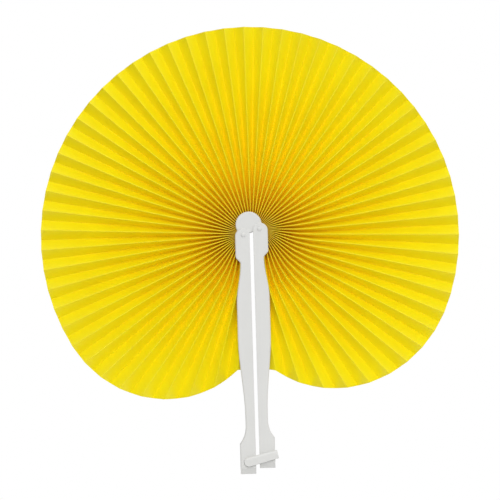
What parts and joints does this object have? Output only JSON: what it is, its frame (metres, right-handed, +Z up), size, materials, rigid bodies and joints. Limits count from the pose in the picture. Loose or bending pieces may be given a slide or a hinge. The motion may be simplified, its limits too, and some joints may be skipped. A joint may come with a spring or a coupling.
{
  "type": "folding hand fan",
  "caption": "Pleated paper hand fan that opens through a full circle on two channelled plastic arms, which clip together as a handle.",
  "frame": {"origin": "in the middle of the grip, in the gap between the two arms, halfway through their depth", "axes": "+Z up along the handle towards the leaf, the leaf in the XZ plane, -Y is the front, where the clip is"},
  "size_m": [0.2508, 0.015, 0.2681],
  "materials": {
    "white_plastic": "satin",
    "yellow_paper": "matte",
    "thread": "matte"
  },
  "bodies": {
    "left_arm": {"left_arm": "white_plastic", "clip_pin": "white_plastic", "leaf_end_left": "yellow_paper"},
    "head": {"head_front": "white_plastic", "head_back": "white_plastic", "rivet_front_left": "white_plastic", "rivet_front_right": "white_plastic", "rivet_back_left": "white_plastic", "rivet_back_right": "white_plastic", "leaf_hub": "yellow_paper", "hub_thread": "thread"},
    "right_arm": {"right_arm": "white_plastic", "leaf_end_right": "yellow_paper"},
    "clip": {"clip": "white_plastic"},
    "leaf_gore_01": {"leaf_gore_01": "yellow_paper"},
    "leaf_gore_02": {"leaf_gore_02": "yellow_paper"},
    "leaf_gore_03": {"leaf_gore_03": "yellow_paper"},
    "leaf_gore_04": {"leaf_gore_04": "yellow_paper"},
    "leaf_gore_05": {"leaf_gore_05": "yellow_paper"},
    "leaf_gore_06": {"leaf_gore_06": "yellow_paper"},
    "leaf_gore_07": {"leaf_gore_07": "yellow_paper"},
    "leaf_gore_08": {"leaf_gore_08": "yellow_paper"},
    "leaf_gore_09": {"leaf_gore_09": "yellow_paper"},
    "leaf_gore_10": {"leaf_gore_10": "yellow_paper"},
    "leaf_gore_11": {"leaf_gore_11": "yellow_paper"},
    "leaf_gore_12": {"leaf_gore_12": "yellow_paper"},
    "leaf_gore_13": {"leaf_gore_13": "yellow_paper"},
    "leaf_gore_14": {"leaf_gore_14": "yellow_paper"},
    "leaf_gore_15": {"leaf_gore_15": "yellow_paper"},
    "leaf_gore_16": {"leaf_gore_16": "yellow_paper"},
    "leaf_gore_17": {"leaf_gore_17": "yellow_paper"},
    "leaf_gore_18": {"leaf_gore_18": "yellow_paper"},
    "leaf_gore_19": {"leaf_gore_19": "yellow_paper"},
    "leaf_gore_20": {"leaf_gore_20": "yellow_paper"},
    "leaf_gore_21": {"leaf_gore_21": "yellow_paper"},
    "leaf_gore_22": {"leaf_gore_22": "yellow_paper"},
    "leaf_gore_23": {"leaf_gore_23": "yellow_paper"},
    "leaf_gore_24": {"leaf_gore_24": "yellow_paper"},
    "leaf_gore_25": {"leaf_gore_25": "yellow_paper"},
    "leaf_gore_26": {"leaf_gore_26": "yellow_paper"},
    "leaf_gore_27": {"leaf_gore_27": "yellow_paper"},
    "leaf_gore_28": {"leaf_gore_28": "yellow_paper"},
    "leaf_gore_29": {"leaf_gore_29": "yellow_paper"},
    "leaf_gore_30": {"leaf_gore_30": "yellow_paper"},
    "leaf_gore_31": {"leaf_gore_31": "yellow_paper"}
  },
  "joints": [
    {"name": "fold", "type": "hinge", "parent": "left_arm", "child": "head", "pos_m": [-0.00487, 0, 0.09434], "axis": [0, -1, 0], "range_deg": [0, 160.95]},
    {"name": "right_arm_swing", "type": "hinge", "parent": "head", "child": "right_arm", "pos_m": [0.00487, 0, 0.09766], "axis": [0, -1, 0], "range_deg": [0, 198.54]},
    {"name": "clip_swing", "type": "hinge", "parent": "left_arm", "child": "clip", "pos_m": [-0.00528, 0, -0.04166], "axis": [0, -1, 0], "range_deg": [-211, 0]},
    {"name": "leaf_gore_01_turn", "type": "hinge", "parent": "head", "child": "leaf_gore_01", "pos_m": [-0.00352, 0, 0.09447], "axis": [0, -1, 0], "range_deg": [-149.54, 0], "deforming": ["leaf_gore_01"]},
    {"name": "leaf_gore_02_turn", "type": "hinge", "parent": "head", "child": "leaf_gore_02", "pos_m": [-0.00332, 0, 0.09491], "axis": [0, -1, 0], "range_deg": [-134.91, 0], "deforming": ["leaf_gore_02"]},
    {"name": "leaf_gore_03_turn", "type": "hinge", "parent": "head", "child": "leaf_gore_03", "pos_m": [-0.00312, 0, 0.09526], "axis": [0, -1, 0], "range_deg": [-121.95, 0], "deforming": ["leaf_gore_03"]},
    {"name": "leaf_gore_04_turn", "type": "hinge", "parent": "head", "child": "leaf_gore_04", "pos_m": [-0.00294, 0, 0.09555], "axis": [0, -1, 0], "range_deg": [-109.99, 0], "deforming": ["leaf_gore_04"]},
    {"name": "leaf_gore_05_turn", "type": "hinge", "parent": "head", "child": "leaf_gore_05", "pos_m": [-0.00275, 0, 0.0958], "axis": [0, -1, 0], "range_deg": [-98.58, 0], "deforming": ["leaf_gore_05"]},
    {"name": "leaf_gore_06_turn", "type": "hinge", "parent": "head", "child": "leaf_gore_06", "pos_m": [-0.00255, 0, 0.09602], "axis": [0, -1, 0], "range_deg": [-87.48, 0], "deforming": ["leaf_gore_06"]},
    {"name": "leaf_gore_07_turn", "type": "hinge", "parent": "head", "child": "leaf_gore_07", "pos_m": [-0.00236, 0, 0.09623], "axis": [0, -1, 0], "range_deg": [-76.53, 0], "deforming": ["leaf_gore_07"]},
    {"name": "leaf_gore_08_turn", "type": "hinge", "parent": "head", "child": "leaf_gore_08", "pos_m": [-0.00216, 0, 0.09641], "axis": [0, -1, 0], "range_deg": [-65.66, 0], "deforming": ["leaf_gore_08"]},
    {"name": "leaf_gore_09_turn", "type": "hinge", "parent": "head", "child": "leaf_gore_09", "pos_m": [-0.00196, 0, 0.09657], "axis": [0, -1, 0], "range_deg": [-54.81, 0], "deforming": ["leaf_gore_09"]},
    {"name": "leaf_gore_10_turn", "type": "hinge", "parent": "head", "child": "leaf_gore_10", "pos_m": [-0.00175, 0, 0.09672], "axis": [0, -1, 0], "range_deg": [-43.98, 0], "deforming": ["leaf_gore_10"]},
    {"name": "leaf_gore_11_turn", "type": "hinge", "parent": "head", "child": "leaf_gore_11", "pos_m": [-0.00153, 0, 0.09685], "axis": [0, -1, 0], "range_deg": [-33.15, 0], "deforming": ["leaf_gore_11"]},
    {"name": "leaf_gore_12_turn", "type": "hinge", "parent": "head", "child": "leaf_gore_12", "pos_m": [-0.00131, 0, 0.09697], "axis": [0, -1, 0], "range_deg": [-22.33, 0], "deforming": ["leaf_gore_12"]},
    {"name": "leaf_gore_13_turn", "type": "hinge", "parent": "head", "child": "leaf_gore_13", "pos_m": [-0.00109, 0, 0.09707], "axis": [0, -1, 0], "range_deg": [-11.5, 0], "deforming": ["leaf_gore_13"]},
    {"name": "leaf_gore_14_turn", "type": "hinge", "parent": "head", "child": "leaf_gore_14", "pos_m": [-0.00085, 0, 0.09716], "axis": [0, -1, 0], "range_deg": [-0.673, 0], "deforming": ["leaf_gore_14"]},
    {"name": "leaf_gore_15_turn", "type": "hinge", "parent": "head", "child": "leaf_gore_15", "pos_m": [-0.00056, 0, 0.09699], "axis": [0, -1, 0], "range_deg": [0, 10.15], "deforming": ["leaf_gore_15"]},
    {"name": "leaf_gore_16_turn", "type": "hinge", "parent": "head", "child": "leaf_gore_16", "pos_m": [-0.00034, 0, 0.09704], "axis": [0, -1, 0], "range_deg": [0, 20.98], "deforming": ["leaf_gore_16"]},
    {"name": "leaf_gore_17_turn", "type": "hinge", "parent": "head", "child": "leaf_gore_17", "pos_m": [-0.00012, 0, 0.09708], "axis": [0, -1, 0], "range_deg": [0, 31.81], "deforming": ["leaf_gore_17"]},
    {"name": "leaf_gore_18_turn", "type": "hinge", "parent": "head", "child": "leaf_gore_18", "pos_m": [0.00011, 0, 0.09711], "axis": [0, -1, 0], "range_deg": [0, 42.63], "deforming": ["leaf_gore_18"]},
    {"name": "leaf_gore_19_turn", "type": "hinge", "parent": "head", "child": "leaf_gore_19", "pos_m": [0.00034, 0, 0.09712], "axis": [0, -1, 0], "range_deg": [0, 53.46], "deforming": ["leaf_gore_19"]},
    {"name": "leaf_gore_20_turn", "type": "hinge", "parent": "head", "child": "leaf_gore_20", "pos_m": [0.00057, 0, 0.09712], "axis": [0, -1, 0], "range_deg": [0, 64.29], "deforming": ["leaf_gore_20"]},
    {"name": "leaf_gore_21_turn", "type": "hinge", "parent": "head", "child": "leaf_gore_21", "pos_m": [0.00082, 0, 0.0971], "axis": [0, -1, 0], "range_deg": [0, 75.11], "deforming": ["leaf_gore_21"]},
    {"name": "leaf_gore_22_turn", "type": "hinge", "parent": "head", "child": "leaf_gore_22", "pos_m": [0.00106, 0, 0.09706], "axis": [0, -1, 0], "range_deg": [0, 85.94], "deforming": ["leaf_gore_22"]},
    {"name": "leaf_gore_23_turn", "type": "hinge", "parent": "head", "child": "leaf_gore_23", "pos_m": [0.00132, 0, 0.09701], "axis": [0, -1, 0], "range_deg": [0, 96.78], "deforming": ["leaf_gore_23"]},
    {"name": "leaf_gore_24_turn", "type": "hinge", "parent": "head", "child": "leaf_gore_24", "pos_m": [0.00158, 0, 0.09694], "axis": [0, -1, 0], "range_deg": [0, 107.64], "deforming": ["leaf_gore_24"]},
    {"name": "leaf_gore_25_turn", "type": "hinge", "parent": "head", "child": "leaf_gore_25", "pos_m": [0.00184, 0, 0.09685], "axis": [0, -1, 0], "range_deg": [0, 118.54], "deforming": ["leaf_gore_25"]},
    {"name": "leaf_gore_26_turn", "type": "hinge", "parent": "head", "child": "leaf_gore_26", "pos_m": [0.00212, 0, 0.09674], "axis": [0, -1, 0], "range_deg": [0, 129.55], "deforming": ["leaf_gore_26"]},
    {"name": "leaf_gore_27_turn", "type": "hinge", "parent": "head", "child": "leaf_gore_27", "pos_m": [0.00241, 0, 0.0966], "axis": [0, -1, 0], "range_deg": [0, 140.78], "deforming": ["leaf_gore_27"]},
    {"name": "leaf_gore_28_turn", "type": "hinge", "parent": "head", "child": "leaf_gore_28", "pos_m": [0.00272, 0, 0.09643], "axis": [0, -1, 0], "range_deg": [0, 152.43], "deforming": ["leaf_gore_28"]},
    {"name": "leaf_gore_29_turn", "type": "hinge", "parent": "head", "child": "leaf_gore_29", "pos_m": [0.00307, 0, 0.09621], "axis": [0, -1, 0], "range_deg": [0, 164.82], "deforming": ["leaf_gore_29"]},
    {"name": "leaf_gore_30_turn", "type": "hinge", "parent": "head", "child": "leaf_gore_30", "pos_m": [0.00346, 0, 0.09592], "axis": [0, -1, 0], "range_deg": [0, 178.51], "deforming": ["leaf_gore_30"]},
    {"name": "leaf_gore_31_turn", "type": "hinge", "parent": "head", "child": "leaf_gore_31", "pos_m": [0.00382, 0, 0.09562], "axis": [0, -1, 0], "range_deg": [0, 190.12], "deforming": ["leaf_gore_31"]}
  ],
  "couplings": [
    {"joint": "right_arm_swing", "follows": "fold", "ratio": 1.2333},
    {"joint": "leaf_gore_01_turn", "follows": "fold", "ratio": -0.92904},
    {"joint": "leaf_gore_02_turn", "follows": "fold", "ratio": -0.83813},
    {"joint": "leaf_gore_03_turn", "follows": "fold", "ratio": -0.75764},
    {"joint": "leaf_gore_04_turn", "follows": "fold", "ratio": -0.6833},
    {"joint": "leaf_gore_05_turn", "follows": "fold", "ratio": -0.61245},
    {"joint": "leaf_gore_06_turn", "follows": "fold", "ratio": -0.54348},
    {"joint": "leaf_gore_07_turn", "follows": "fold", "ratio": -0.47546},
    {"joint": "leaf_gore_08_turn", "follows": "fold", "ratio": -0.4079},
    {"joint": "leaf_gore_09_turn", "follows": "fold", "ratio": -0.34053},
    {"joint": "leaf_gore_10_turn", "follows": "fold", "ratio": -0.27323},
    {"joint": "leaf_gore_11_turn", "follows": "fold", "ratio": -0.20596},
    {"joint": "leaf_gore_12_turn", "follows": "fold", "ratio": -0.1387},
    {"joint": "leaf_gore_13_turn", "follows": "fold", "ratio": -0.071441},
    {"joint": "leaf_gore_14_turn", "follows": "fold", "ratio": -0.004181},
    {"joint": "leaf_gore_15_turn", "follows": "fold", "ratio": 0.063079},
    {"joint": "leaf_gore_16_turn", "follows": "fold", "ratio": 0.13034},
    {"joint": "leaf_gore_17_turn", "follows": "fold", "ratio": 0.1976},
    {"joint": "leaf_gore_18_turn", "follows": "fold", "ratio": 0.26486},
    {"joint": "leaf_gore_19_turn", "follows": "fold", "ratio": 0.33212},
    {"joint": "leaf_gore_20_turn", "follows": "fold", "ratio": 0.39938},
    {"joint": "leaf_gore_21_turn", "follows": "fold", "ratio": 0.46664},
    {"joint": "leaf_gore_22_turn", "follows": "fold", "ratio": 0.53392},
    {"joint": "leaf_gore_23_turn", "follows": "fold", "ratio": 0.60124},
    {"joint": "leaf_gore_24_turn", "follows": "fold", "ratio": 0.66869},
    {"joint": "leaf_gore_25_turn", "follows": "fold", "ratio": 0.73643},
    {"joint": "leaf_gore_26_turn", "follows": "fold", "ratio": 0.80485},
    {"joint": "leaf_gore_27_turn", "follows": "fold", "ratio": 0.87461},
    {"joint": "leaf_gore_28_turn", "follows": "fold", "ratio": 0.94695},
    {"joint": "leaf_gore_29_turn", "follows": "fold", "ratio": 1.0239},
    {"joint": "leaf_gore_30_turn", "follows": "fold", "ratio": 1.109},
    {"joint": "leaf_gore_31_turn", "follows": "fold", "ratio": 1.1811}
  ]
}
